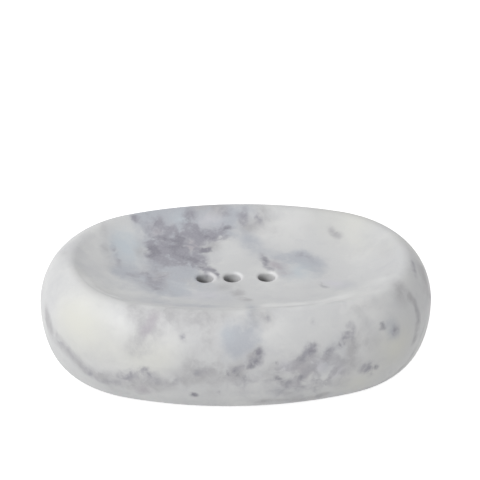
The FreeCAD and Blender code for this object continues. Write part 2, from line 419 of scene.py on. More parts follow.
@dataclass(frozen=True)
class Mark:
    """A cloud or vein in the stone, or a painted highlight or painted shade, drawn on one view of the
    block.

    Args:
        tone: Its colour.
        weight: Its strength, up to 1.
        width: How far it reaches to each side, in millimetres.
        path: The points it runs through, in pixels on the shot and in millimetres on the other views.
        past: How far a stretch of it runs past its points, in widths.
        deep: How far it reaches into the stone, in widths.
        spare: How much further it reaches there, in millimetres.
    """

    tone: Tone
    weight: float
    width: float
    path: Tuple[Point, ...]
    past: float = 0.7
    deep: float = 1.3
    spare: float = 1.0

    def spindles(self, view: View, surface: BVHTree) -> Iterator[Spindle]:
        """The spindles that it is made of.

        Args:
            view: The view that it is drawn on.
            surface: The block.

        Returns:
            One spindle for each stretch between two points. A point that misses the block is left out.
        """
        hits = [surface.ray_cast(*view.ray(*point)) for point in self.path]
        seats = [(place / MM, normal) for place, normal, _, _ in hits if place]
        for (first, out_first), (last, out_last) in zip(seats, seats[1:]):
            run = last - first
            ahead = run.normalized()
            side = (out_first + out_last).cross(ahead).normalized()
            turn = Matrix((ahead, side, ahead.cross(side))).transposed()
            length = run.length / 2 + self.past * self.width
            depth = self.deep * self.width + self.spare
            yield Spindle(self.weight, (first + last) / 2, turn, Vector((length, self.width, depth)))


@dataclass(frozen=True)
class Drawing:
    """Marks that belong together, drawn on one view.

    Args:
        view: The view.
        marks: The marks.
    """

    view: View
    marks: Tuple[Mark, ...]

    def spindles(self, surface: BVHTree, tone: Tone) -> Iterator[Spindle]:
        """The spindles of one tone.

        Args:
            surface: The block.
            tone: The tone.

        Returns:
            The spindles of each mark of that tone.
        """
        for mark in self.marks:
            if mark.tone is tone:
                yield from mark.spindles(self.view, surface)


@dataclass(frozen=True)
class Wash:
    """How one tone lies in the stone.

    Args:
        colour: The tone at its strongest.
        span: The size of its feathering in millimetres.
        ragged: How far the feathering breaks it up.
        low: The strength at which it starts to show.
        high: The strength at which it is full.
    """

    colour: Colour
    span: float
    ragged: float
    low: float
    high: float

    def share(self, shader: Shader, swirl: Value, drawn: Operand) -> Value:
        """How much of the tone shows, from how strongly it is drawn there."""
        feather = 2 * (shader.noise(swirl, self.span) - NOISE_MEAN)
        return (drawn * (1 + self.ragged * feather)).rise(self.low, self.high)


# The tones in the order that they are laid, the darkest last
WASHES: Dict[Tone, Wash] = {
    Tone.IVORY: Wash((0.755, 0.755, 0.70), span=14.0, ragged=0.5, low=0.05, high=0.9),
    # The pale tone also paints the highlights along the lip and on the hole mouths
    Tone.PALE_AND_HIGHLIGHT: Wash((0.85, 0.855, 0.85), span=9.0, ragged=0.6, low=0.05, high=0.9),
    Tone.VEIL: Wash((0.495, 0.515, 0.558), span=7.0, ragged=1.3, low=0.05, high=0.85),
    # The dusk tone also paints the shade along the lower front and lower right edges
    Tone.DUSK_AND_SHADE: Wash((0.485, 0.482, 0.495), span=6.0, ragged=1.4, low=0.05, high=0.85),
    Tone.MIST: Wash((0.57, 0.62, 0.665), span=7.0, ragged=0.8, low=0.05, high=0.9),
    Tone.LILAC: Wash((0.665, 0.66, 0.705), span=6.0, ragged=0.9, low=0.05, high=0.9),
    Tone.BLUSH: Wash((0.47, 0.445, 0.48), span=5.0, ragged=1.2, low=0.08, high=0.9),
    Tone.WEB: Wash((0.45, 0.445, 0.475), span=5.0, ragged=1.4, low=0.05, high=0.8),
    Tone.SMOKE: Wash((0.345, 0.34, 0.385), span=4.6, ragged=2.0, low=0.10, high=0.85),
    Tone.INK: Wash((0.275, 0.27, 0.31), span=3.4, ragged=2.4, low=0.15, high=0.85),
}

# The marks by place, drawn one by one: each has a tone, a weight, a width and a path
DRAWINGS: Dict[str, Drawing] = {
    "scoop_veil": Drawing(View.SHOT, (
        Mark(Tone.VEIL, 0.9, 18, ((162, 216), (172, 245), (168, 272))),
        Mark(Tone.VEIL, 0.8, 13, ((195, 212), (238, 216))),
        Mark(Tone.VEIL, 0.7, 8, ((114, 236), (118, 262), (128, 274))),
        Mark(Tone.VEIL, 0.9, 6, ((116, 270), (134, 275), (154, 275))),
        Mark(Tone.VEIL, 0.6, 9, ((126, 276), (150, 282), (172, 288))),
        Mark(Tone.VEIL, 0.7, 11, ((150, 290), (180, 292), (230, 294))),
        Mark(Tone.VEIL, 0.5, 8, ((140, 299), (180, 305), (225, 306))),
        Mark(Tone.VEIL, 0.45, 7, ((112, 284), (132, 288))),
        Mark(Tone.VEIL, 0.7, 9, ((160, 275), (196, 277))),
        Mark(Tone.VEIL, 0.8, 9, ((170, 266), (184, 272), (194, 284))),
        Mark(Tone.DUSK_AND_SHADE, 0.65, 4, ((185, 279), (195, 287))),
        Mark(Tone.DUSK_AND_SHADE, 0.5, 8, ((212, 286), (238, 288))),
        Mark(Tone.MIST, 0.35, 12, ((170, 284), (200, 292))),
        Mark(Tone.LILAC, 0.6, 9, ((186, 294), (225, 297))),
    )),
    "scoop_shade": Drawing(View.SHOT, (
        Mark(Tone.DUSK_AND_SHADE, 0.2, 17, ((276, 222), (292, 242))),
        Mark(Tone.DUSK_AND_SHADE, 0.25, 11, ((300, 212), (352, 222))),
        Mark(Tone.DUSK_AND_SHADE, 0.3, 9, ((384, 246), (392, 256))),
    )),
    "smoky_cloud": Drawing(View.SHOT, (
        Mark(Tone.VEIL, 0.7, 5, ((205, 225), (220, 229))),
        Mark(Tone.VEIL, 0.6, 4, ((225, 230), (234, 238))),
        Mark(Tone.VEIL, 0.4, 8, ((198, 219), (220, 220))),
        Mark(Tone.DUSK_AND_SHADE, 0.7, 6, ((202, 246), (216, 247))),
        Mark(Tone.DUSK_AND_SHADE, 1.0, 5, ((191, 236), (192, 253))),
        Mark(Tone.DUSK_AND_SHADE, 0.5, 4, ((203, 225), (218, 229))),
        Mark(Tone.MIST, 0.5, 7, ((178, 215), (184, 224))),
        Mark(Tone.LILAC, 0.6, 8, ((198, 219), (220, 220))),
        Mark(Tone.BLUSH, 0.5, 9, ((153, 226), (164, 236))),
        Mark(Tone.BLUSH, 1.0, 4, ((191, 238), (192, 250))),
        Mark(Tone.SMOKE, 0.7, 7, ((153, 217), (158, 232), (167, 242))),
        Mark(Tone.SMOKE, 1.0, 11, ((154, 251), (174, 247), (194, 248))),
        Mark(Tone.SMOKE, 0.8, 9, ((172, 256), (190, 258), (204, 266))),
        Mark(Tone.SMOKE, 0.85, 5, ((191, 211), (190, 227), (186, 240))),
        Mark(Tone.SMOKE, 0.8, 6, ((198, 234), (214, 236), (230, 230))),
        Mark(Tone.SMOKE, 0.6, 3.5, ((195, 262), (208, 270), (221, 279))),
        Mark(Tone.SMOKE, 0.6, 4, ((154, 228), (159, 236))),
        Mark(Tone.SMOKE, 0.6, 3.5, ((173, 226), (181, 230))),
        Mark(Tone.SMOKE, 0.8, 3.5, ((181, 226), (186, 236))),
        Mark(Tone.SMOKE, 0.6, 3, ((152, 248), (154, 262))),
        Mark(Tone.INK, 0.8, 4, ((161, 237), (172, 243), (185, 246))),
        Mark(Tone.INK, 0.8, 2.8, ((177, 233), (184, 239))),
        Mark(Tone.INK, 0.8, 4, ((149, 246), (152, 257))),
        Mark(Tone.INK, 0.5, 4, ((154, 249), (162, 252))),
        Mark(Tone.INK, 0.6, 3, ((167, 249), (177, 256))),
        Mark(Tone.INK, 0.9, 3, ((201, 233), (214, 237))),
        Mark(Tone.INK, 0.8, 2.2, ((223, 231), (230, 228))),
        Mark(Tone.INK, 0.9, 3.2, ((200, 250), (211, 248))),
        Mark(Tone.INK, 0.8, 2.6, ((182, 253), (188, 260))),
        Mark(Tone.INK, 0.8, 2.4, ((191, 256), (200, 263))),
        Mark(Tone.INK, 0.6, 1.8, ((198, 265), (207, 269), (214, 270), (222, 278))),
        Mark(Tone.INK, 0.6, 2.5, ((189, 211), (191, 223))),
        Mark(Tone.INK, 0.5, 2.5, ((153, 217), (158, 226))),
    )),
    "cloud_tail": Drawing(View.SHOT, (
        Mark(Tone.WEB, 0.7, 12, ((152, 268), (160, 290))),
        Mark(Tone.SMOKE, 0.5, 6, ((155, 264), (160, 276), (156, 290))),
        Mark(Tone.SMOKE, 0.6, 3, ((150, 274), (152, 284), (159, 291))),
        Mark(Tone.SMOKE, 0.5, 2.5, ((160, 272), (162, 283))),
    )),
    "rim_streaks": Drawing(View.SHOT, (
        Mark(Tone.VEIL, 0.6, 7, ((243, 232), (250, 244), (260, 254))),
        Mark(Tone.DUSK_AND_SHADE, 0.7, 4, ((112, 219), (126, 214), (140, 211))),
        Mark(Tone.DUSK_AND_SHADE, 0.5, 5, ((198, 207), (212, 208), (222, 212))),
        Mark(Tone.DUSK_AND_SHADE, 0.7, 6, ((240, 223), (256, 229))),
        Mark(Tone.DUSK_AND_SHADE, 0.45, 6, ((256, 208), (264, 214), (270, 226))),
        Mark(Tone.DUSK_AND_SHADE, 0.8, 7, ((194, 208), (218, 209))),
        Mark(Tone.SMOKE, 0.8, 2.6, ((132, 216), (140, 221))),
        Mark(Tone.SMOKE, 0.6, 4, ((214, 208), (232, 214))),
        Mark(Tone.SMOKE, 0.7, 3.5, ((242, 211), (245, 220), (247, 230))),
        Mark(Tone.SMOKE, 0.6, 3.5, ((257, 211), (262, 225))),
    )),
    "slate_streaks": Drawing(View.SHOT, (
        Mark(Tone.DUSK_AND_SHADE, 0.6, 2.5, ((104, 221), (106, 240), (106, 258))),
        Mark(Tone.DUSK_AND_SHADE, 0.4, 5, ((64, 246), (66, 258))),
        Mark(Tone.DUSK_AND_SHADE, 0.35, 6, ((107, 250), (111, 276))),
        Mark(Tone.DUSK_AND_SHADE, 0.7, 5, ((136, 262), (140, 236))),
        Mark(Tone.MIST, 0.9, 10, ((124, 230), (129, 262))),
        Mark(Tone.SMOKE, 0.55, 2.5, ((114, 243), (116, 256), (120, 269))),
        Mark(Tone.SMOKE, 0.5, 4, ((124, 274), (138, 275), (150, 273))),
    )),
    "island_and_arch": Drawing(View.SHOT, (
        Mark(Tone.PALE_AND_HIGHLIGHT, 0.35, 11, ((222, 250), (238, 252))),
        Mark(Tone.VEIL, 0.7, 5, ((282, 262), (292, 257), (302, 255), (311, 261), (318, 271))),
        Mark(Tone.VEIL, 0.6, 6, ((270, 254), (280, 266), (292, 282))),
        Mark(Tone.VEIL, 0.5, 5, ((308, 268), (316, 274))),
        Mark(Tone.VEIL, 0.45, 8, ((284, 260), (300, 255), (314, 263), (321, 276))),
        Mark(Tone.VEIL, 0.5, 7, ((335, 284), (352, 288))),
        Mark(Tone.DUSK_AND_SHADE, 0.6, 2.6, ((329, 227), (334, 233), (340, 238))),
        Mark(Tone.MIST, 0.75, 10, ((292, 268), (306, 278))),
        Mark(Tone.LILAC, 0.7, 5, ((322, 280), (348, 286))),
        Mark(Tone.BLUSH, 0.6, 5.5, ((270, 261), (279, 267), (287, 278))),
        Mark(Tone.SMOKE, 0.65, 3, ((261, 254), (266, 262), (271, 271))),
        Mark(Tone.SMOKE, 0.35, 3, ((290, 257), (300, 253), (309, 256), (317, 265))),
        Mark(Tone.SMOKE, 0.6, 2.5, ((318, 282), (328, 288))),
        Mark(Tone.INK, 0.7, 2.0, ((263, 257), (267, 264), (272, 272))),
    )),
    # Painted highlights on the right sides of the hole mouths, where the light from the left falls
    "hole_mouth_highlight": Drawing(View.SHOT, (
        Mark(Tone.PALE_AND_HIGHLIGHT, 0.4, 3, ((212, 273), (216, 278), (213, 282))),
        Mark(Tone.PALE_AND_HIGHLIGHT, 0.3, 3.5, ((272, 272), (278, 277), (276, 281))),
    )),
    # Painted highlights: pale lines where the lip's edge catches the light, and pale washes that lift the
    # shade just inside the lip
    "lip_highlight": Drawing(View.SHOT, (
        Mark(Tone.PALE_AND_HIGHLIGHT, 0.9, 3.2, ((84, 277), (91, 285), (104, 293), (120, 298))),
        Mark(Tone.PALE_AND_HIGHLIGHT, 0.95, 6, ((262, 306), (285, 305), (310, 303), (335, 299), (350, 294))),
        Mark(Tone.PALE_AND_HIGHLIGHT, 0.6, 3, ((274, 308), (290, 308), (312, 306), (334, 301), (348, 297))),
        Mark(Tone.PALE_AND_HIGHLIGHT, 0.5, 7, ((372, 284), (392, 274))),
        Mark(Tone.PALE_AND_HIGHLIGHT, 0.3, 3, ((140, 302), (170, 307), (204, 309), (236, 309))),
        Mark(Tone.PALE_AND_HIGHLIGHT, 0.2, 7, ((270, 296), (306, 294), (340, 287))),
        Mark(Tone.PALE_AND_HIGHLIGHT, 0.3, 6, ((86, 254), (90, 270), (100, 285))),
    )),
    "lip_vein": Drawing(View.SHOT, (
        Mark(Tone.VEIL, 0.6, 4.5, ((248, 302), (254, 314), (254, 328))),
        Mark(Tone.DUSK_AND_SHADE, 0.9, 3.5, ((237, 291), (241, 298), (249, 301))),
    )),
    "warm_ground": Drawing(View.SHOT, (
        Mark(Tone.IVORY, 0.9, 18, ((72, 306), (90, 340))),
        Mark(Tone.IVORY, 0.45, 14, ((110, 352), (150, 355), (178, 358))),
        Mark(Tone.IVORY, 0.4, 20, ((340, 228), (372, 250))),
        Mark(Tone.IVORY, 0.8, 13, ((382, 352), (408, 338))),
        Mark(Tone.IVORY, 0.6, 10, ((345, 384), (372, 378))),
    )),
    "upper_front": Drawing(View.SHOT, (
        Mark(Tone.PALE_AND_HIGHLIGHT, 0.25, 9, ((108, 314), (124, 322))),
        Mark(Tone.VEIL, 0.6, 7, ((229, 322), (234, 344))),
        Mark(Tone.VEIL, 0.5, 9, ((242, 326), (254, 338), (246, 350), (228, 352))),
        Mark(Tone.DUSK_AND_SHADE, 0.35, 10, ((146, 314), (176, 318), (206, 318), (240, 314))),
        Mark(Tone.DUSK_AND_SHADE, 0.4, 7, ((160, 308), (152, 328), (136, 350))),
        Mark(Tone.DUSK_AND_SHADE, 0.35, 6, ((122, 340), (134, 352))),
        Mark(Tone.DUSK_AND_SHADE, 0.25, 6, ((124, 304), (134, 316))),
        Mark(Tone.DUSK_AND_SHADE, 0.3, 10, ((196, 336), (214, 350), (212, 364))),
        Mark(Tone.DUSK_AND_SHADE, 0.35, 6, ((248, 320), (266, 324))),
        Mark(Tone.DUSK_AND_SHADE, 0.4, 6, ((131, 305), (137, 318), (140, 332))),
        Mark(Tone.DUSK_AND_SHADE, 0.22, 11, ((128, 358), (176, 360))),
        Mark(Tone.DUSK_AND_SHADE, 0.2, 9, ((92, 298), (106, 314))),
        Mark(Tone.DUSK_AND_SHADE, 0.3, 9, ((190, 308), (194, 332))),
        Mark(Tone.DUSK_AND_SHADE, 0.3, 6, ((156, 312), (154, 324))),
        Mark(Tone.DUSK_AND_SHADE, 0.45, 6, ((262, 310), (268, 324))),
        Mark(Tone.MIST, 0.4, 7, ((226, 326), (230, 340))),
        Mark(Tone.BLUSH, 0.75, 3.5, ((157, 309), (151, 321), (142, 336))),
        Mark(Tone.SMOKE, 0.6, 2.5, ((182, 333), (183, 342))),
        Mark(Tone.SMOKE, 0.45, 2, ((267, 312), (268, 325))),
        Mark(Tone.SMOKE, 0.45, 2, ((313, 318), (314, 326))),
    )),
    "front_feather": Drawing(View.SHOT, (
        Mark(Tone.DUSK_AND_SHADE, 0.6, 5, ((259, 348), (254, 359), (238, 368), (206, 381))),
        Mark(Tone.DUSK_AND_SHADE, 0.3, 4, ((212, 367), (222, 369))),
        Mark(Tone.DUSK_AND_SHADE, 0.4, 5, ((266, 366), (274, 372))),
        Mark(Tone.DUSK_AND_SHADE, 0.4, 7, ((202, 388), (216, 393))),
        Mark(Tone.DUSK_AND_SHADE, 0.5, 5, ((216, 371), (230, 373), (244, 374))),
        Mark(Tone.DUSK_AND_SHADE, 0.5, 5, ((274, 362), (280, 384))),
        Mark(Tone.WEB, 0.3, 9, ((215, 382), (240, 382), (262, 378))),
        Mark(Tone.SMOKE, 0.45, 3, ((260, 347), (256, 358), (246, 366), (228, 372))),
        Mark(Tone.SMOKE, 0.5, 3, ((262, 352), (259, 362), (253, 368))),
        Mark(Tone.INK, 0.65, 2.2, ((260, 349), (257, 357))),
        Mark(Tone.INK, 0.65, 2.2, ((257, 363), (248, 368))),
        Mark(Tone.INK, 0.7, 3, ((226, 374), (238, 370))),
        Mark(Tone.INK, 0.65, 2.5, ((240, 374), (246, 380))),
        Mark(Tone.INK, 0.7, 2.2, ((259, 359), (256, 366))),
    )),
    "lower_band": Drawing(View.SHOT, (
        Mark(Tone.DUSK_AND_SHADE, 0.85, 5, ((46, 316), (56, 338), (70, 354), (88, 370), (108, 380))),
        Mark(Tone.DUSK_AND_SHADE, 0.65, 7, ((104, 382), (128, 381), (154, 386), (184, 377), (212, 371))),
        Mark(Tone.DUSK_AND_SHADE, 0.4, 6, ((188, 356), (193, 368))),
        Mark(Tone.DUSK_AND_SHADE, 0.6, 4.5, ((45, 304), (48, 322), (56, 344))),
        Mark(Tone.BLUSH, 0.65, 5, ((136, 388), (152, 391))),
        Mark(Tone.SMOKE, 0.45, 3, ((56, 338), (66, 350), (80, 363), (96, 378), (120, 384))),
        Mark(Tone.SMOKE, 0.5, 5, ((118, 381), (130, 376), (144, 371), (156, 378))),
        Mark(Tone.SMOKE, 0.4, 3, ((152, 385), (168, 383), (180, 377))),
        Mark(Tone.SMOKE, 0.35, 4, ((188, 374), (200, 375), (214, 369))),
        Mark(Tone.SMOKE, 0.4, 2.5, ((216, 390), (224, 394))),
        Mark(Tone.INK, 0.7, 2.2, ((188, 393), (197, 396))),
    )),
    # Painted shade: a dark line along the bottom edge, where the dish turns under towards the table
    "lower_edge_shade": Drawing(View.SHOT, (
        Mark(Tone.DUSK_AND_SHADE, 0.8, 3.2, ((250, 402), (280, 401), (306, 399), (330, 394))),
    )),
    "violet_cluster": Drawing(View.SHOT, (
        Mark(Tone.PALE_AND_HIGHLIGHT, 0.5, 5, ((318, 378), (330, 376))),
        Mark(Tone.VEIL, 0.4, 9, ((318, 372), (332, 360), (346, 340))),
        Mark(Tone.VEIL, 0.5, 8, ((274, 388), (300, 390))),
        Mark(Tone.DUSK_AND_SHADE, 0.45, 8, ((292, 380), (302, 366), (316, 350))),
        Mark(Tone.DUSK_AND_SHADE, 0.5, 4, ((306, 360), (318, 362))),
        Mark(Tone.DUSK_AND_SHADE, 0.4, 4, ((286, 392), (294, 395))),
        Mark(Tone.DUSK_AND_SHADE, 0.35, 5, ((340, 376), (342, 390))),
        Mark(Tone.LILAC, 0.8, 4.5, ((312, 362), (322, 371))),
        Mark(Tone.LILAC, 0.7, 5, ((281, 364), (290, 371))),
        Mark(Tone.LILAC, 0.6, 5, ((334, 366), (340, 375))),
        Mark(Tone.BLUSH, 0.6, 6, ((296, 362), (304, 378))),
        Mark(Tone.WEB, 0.65, 15, ((282, 384), (310, 374), (338, 364))),
        Mark(Tone.SMOKE, 0.6, 4.5, ((314, 342), (308, 354), (300, 364))),
        Mark(Tone.SMOKE, 0.45, 3.2, ((353, 322), (348, 332), (338, 342))),
        Mark(Tone.SMOKE, 0.55, 3.5, ((336, 349), (326, 357))),
        Mark(Tone.SMOKE, 0.35, 3, ((304, 375), (290, 384), (277, 380))),
        Mark(Tone.SMOKE, 0.45, 4, ((282, 384), (284, 396))),
        Mark(Tone.INK, 0.7, 3, ((315, 344), (308, 352))),
        Mark(Tone.INK, 0.65, 2.5, ((298, 361), (304, 357))),
        Mark(Tone.INK, 0.65, 2.5, ((343, 341), (338, 347))),
        Mark(Tone.INK, 0.65, 2.6, ((331, 352), (324, 358))),
        Mark(Tone.INK, 0.65, 2.5, ((300, 376), (306, 378))),
        Mark(Tone.INK, 0.65, 2.8, ((276, 377), (284, 384))),
        Mark(Tone.INK, 0.6, 1.8, ((274, 363), (277, 365))),
    )),
    "right_spots": Drawing(View.SHOT, (
        Mark(Tone.VEIL, 0.45, 5, ((390, 324), (397, 330), (391, 338))),
        Mark(Tone.VEIL, 0.6, 4, ((384, 324), (395, 325))),
        Mark(Tone.DUSK_AND_SHADE, 0.3, 12, ((352, 350), (366, 372))),
        Mark(Tone.DUSK_AND_SHADE, 0.5, 5, ((350, 334), (352, 352), (344, 372))),
        Mark(Tone.DUSK_AND_SHADE, 0.3, 7, ((362, 298), (356, 320), (354, 342))),
        Mark(Tone.DUSK_AND_SHADE, 0.35, 9, ((362, 340), (382, 338))),
        Mark(Tone.SMOKE, 0.4, 3, ((352, 325), (352, 340))),
        Mark(Tone.SMOKE, 0.5, 3, ((392, 335), (398, 326))),
        Mark(Tone.SMOKE, 0.65, 5, ((362, 367), (374, 371))),
        Mark(Tone.INK, 0.55, 2.5, ((382, 322), (383, 332))),
        Mark(Tone.INK, 0.6, 2.5, ((371, 369), (377, 367))),
    )),
    "right_flank": Drawing(View.SHOT, (
        Mark(Tone.DUSK_AND_SHADE, 0.7, 6, ((399, 284), (402, 302))),
        Mark(Tone.DUSK_AND_SHADE, 0.95, 2.8, ((408, 294), (415, 304), (418, 316), (417, 330), (413, 344))),
        Mark(Tone.DUSK_AND_SHADE, 0.9, 6, ((404, 234), (414, 249), (421, 265), (424, 278))),
        Mark(Tone.DUSK_AND_SHADE, 0.5, 4, ((417, 318), (418, 342))),
        Mark(Tone.DUSK_AND_SHADE, 0.3, 6, ((384, 276), (396, 272))),
        Mark(Tone.DUSK_AND_SHADE, 0.4, 6, ((370, 300), (382, 302))),
        Mark(Tone.SMOKE, 0.4, 2.5, ((414, 302), (418, 314), (417, 328))),
        Mark(Tone.SMOKE, 0.45, 3, ((410, 258), (413, 268), (415, 277))),
    )),
    # Painted shade: a darker line along the lower right edge, where the dish turns away and under
    "right_edge_shade": Drawing(View.SHOT, (
        Mark(Tone.DUSK_AND_SHADE, 0.6, 2.5, ((425, 322), (419, 342), (408, 361), (394, 375), (374, 386), (350, 393))),
    )),
    "back_wall": Drawing(View.BACK, (
        Mark(Tone.IVORY, 0.8, 16, ((30, 34), (55, 30))),
        Mark(Tone.VEIL, 0.9, 16, ((-34, 36), (-22, 30), (-10, 33), (6, 36))),
        Mark(Tone.VEIL, 0.6, 11, ((18, 14), (36, 24), (52, 28))),
        Mark(Tone.DUSK_AND_SHADE, 0.8, 9, ((-58, 24), (-44, 18), (-26, 16), (-8, 12))),
        Mark(Tone.WEB, 0.9, 15, ((12, 16), (32, 22))),
        Mark(Tone.SMOKE, 0.8, 8, ((-30, 35), (-24, 28), (-26, 20))),
        Mark(Tone.SMOKE, 0.7, 6, ((-14, 36), (-10, 28), (-2, 22), (8, 19))),
        Mark(Tone.SMOKE, 0.5, 4, ((-52, 22), (-40, 16), (-28, 14))),
        Mark(Tone.SMOKE, 0.6, 4, ((20, 12), (32, 20), (48, 26), (60, 24))),
        Mark(Tone.INK, 0.7, 4, ((-27, 31), (-24, 24))),
        Mark(Tone.INK, 0.6, 3, ((-9, 27), (-2, 22))),
    )),
    "right_end": Drawing(View.RIGHT, (
        Mark(Tone.IVORY, 0.7, 13, ((4, 32), (20, 30))),
        Mark(Tone.DUSK_AND_SHADE, 0.7, 7, ((-14, 30), (0, 22), (14, 18), (26, 20))),
        Mark(Tone.SMOKE, 0.5, 3.5, ((-12, 28), (2, 20), (16, 16))),
    )),
    "left_end": Drawing(View.LEFT, (
        Mark(Tone.IVORY, 0.8, 13, ((4, 14), (18, 12))),
        Mark(Tone.DUSK_AND_SHADE, 0.8, 6, ((-6, 26), (8, 28), (22, 24))),
        Mark(Tone.SMOKE, 0.5, 3.5, ((0, 26), (14, 26), (26, 22))),
    )),
    "underside": Drawing(View.BASE, (
        Mark(Tone.IVORY, 0.8, 18, ((-30, -16), (-8, -22))),
        Mark(Tone.VEIL, 0.8, 18, ((-42, 14), (-18, 6), (6, 10))),
        Mark(Tone.WEB, 0.9, 18, ((18, -8), (42, 4))),
        Mark(Tone.SMOKE, 0.7, 7, ((-48, 20), (-26, 10), (-6, 12), (16, 4))),
        Mark(Tone.SMOKE, 0.5, 5, ((8, -18), (26, -8), (48, -4))),
        Mark(Tone.INK, 0.7, 3.5, ((-30, 12), (-18, 8))),
    )),
}


@dataclass(frozen=True)
class Cast:
    """A slow change in the white of the stone.

    Args:
        colour: What it changes to.
        span: The size of its patches in millimetres.
        low: The noise at which it starts to show.
        high: The noise at which it is full.
        most: How much of it shows there.
    """

    colour: Colour
    span: float
    low: float
    high: float
    most: float

    def lay(self, shader: Shader, swirl: Value, colour: Paint) -> Value:
        """Lay it over the colour of the stone."""
        patch = shader.noise(swirl, self.span, Layers.PATCHY).rise(self.low, self.high)
        return shader.mix(self.most * patch, colour, self.colour)


@dataclass(frozen=True)
class Web:
    """A net of fine veins of uneven width.

    Args:
        cell: The size of its cells in millimetres.
        wave: What bends its threads.
        swell_span: How far apart its threads swell, in millimetres.
        swell: How much they swell and fade out.
        thread: How wide they are, as a share of a cell.
    """

    cell: float = 6.5
    wave: Wave = Wave(3.0, 1.8)
    swell_span: float = 6.0
    swell: float = 0.9
    thread: float = 0.30

    def threads(self, shader: Shader, swirl: Value) -> Value:
        """Where the threads run.

        Args:
            shader: The material.
            swirl: Where on the piece, pushed about, in millimetres.

        Returns:
            1 on a thread, 0 in a cell.
        """
        inputs = {"Vector": shader.drift(swirl, self.wave), "Scale": 1 / self.cell}
        edge = shader.node("ShaderNodeTexVoronoi", {"feature": "DISTANCE_TO_EDGE"}, inputs, "Distance")
        swell = self.swell * (NOISE_MEAN - shader.noise(swirl, self.swell_span, Layers.SMOOTH))
        return 1 - (edge + swell).rise(0.0, self.thread)


@dataclass(frozen=True)
class Bores:
    """The drain holes: painted shade darkens their walls downwards, and a painted highlight makes their
    mouths palest on the right.

    Args:
        wall_shade: The colour of the painted shade on the drilled walls.
        radius: The radius of those walls in millimetres.
        skin: How far past that radius their colour fades out.
        fade: The heights between which the painted shade comes in as the walls go into the stone, from the
            top of the opening.
        tilt: How much deeper the painted shade starts on the right, as a slope.
        mouth_highlight: The colour of the painted highlight on the mouths.
        ring: The distances from the middle of a hole between which that colour fades out.
        aside: How far to the right of the middle it is full.
        rise: The heights between which it comes in, from the top of the opening.
        most: How much of it shows.
    """

    wall_shade: Colour = (0.26, 0.26, 0.265)
    radius: float = 3.05
    skin: float = 0.3
    fade: Range = (-6.3, -2.9)
    tilt: float = 1.05
    mouth_highlight: Colour = (0.84, 0.835, 0.845)
    ring: Range = (3.5, 4.7)
    aside: float = 2.6
    rise: Range = (-6.5, -3.5)
    most: float = 0.8

    def lay(self, shader: Shader, place: Value, colour: Paint) -> Paint:
        """Lay the painted highlight on the mouths and the painted shade on the walls over the stone.

        Args:
            shader: The material.
            place: Where on the piece, in millimetres.
            colour: The stone without them.

        Returns:
            The stone with them.
        """
        flat = shader.vector("MULTIPLY", (place, IN_PLAN))
        across = shader.node("ShaderNodeSeparateXYZ", {}, {0: place}, "X")
        height = shader.node("ShaderNodeSeparateXYZ", {}, {0: place}, "Z")
        for low, high in self.openings():
            middle = (low + high) / 2
            away = shader.vector("DISTANCE", (flat, (middle.x, middle.y, 0.0)), "Value")
            right = across - middle.x
            level = height - high.z
            # Painted highlight: the right sides of the mouths are made paler, as if lit from the left
            crescent = (1 - away.rise(*self.ring)) * right.rise(0.0, self.aside) * level.rise(*self.rise)
            colour = shader.mix(self.most * crescent, colour, self.mouth_highlight)
            # Painted shade: the walls darken downwards, starting deeper on the right, as if lit from the
            # left
            drilled = 1 - away.rise(self.radius, self.radius + self.skin)
            deep = 1 - (level + self.tilt * right).rise(*self.fade)
            colour = shader.mix(drilled * deep, colour, self.wall_shade)
        return colour

    @staticmethod
    def openings() -> List[List[Vector]]:
        """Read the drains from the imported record.

        Returns:
            The lowest and the highest corner of each, in millimetres.
        """
        spaces = frame["record"]["physics"]["openings"]
        drains = (space for space in spaces if space["name"].startswith("drain"))
        return [[Vector(corner) / MM for corner in drain["box_m"]] for drain in drains]


@dataclass(frozen=True)
class Grain:
    """The crystals that a honed face shows from close by.

    Args:
        colour: The colour of a bright crystal.
        span: The size of a crystal in millimetres.
        low: The noise at which a crystal starts to show.
        high: The noise at which it is full.
        most: How much of its colour shows there.
        depth: How deep the honing leaves it, in metres.
        relief: How much of that depth shows.
    """

    colour: Colour = (0.78, 0.78, 0.78)
    span: float = 0.8
    low: float = 0.35
    high: float = 0.75
    most: float = 0.10
    depth: float = 0.0001
    relief: float = 0.12


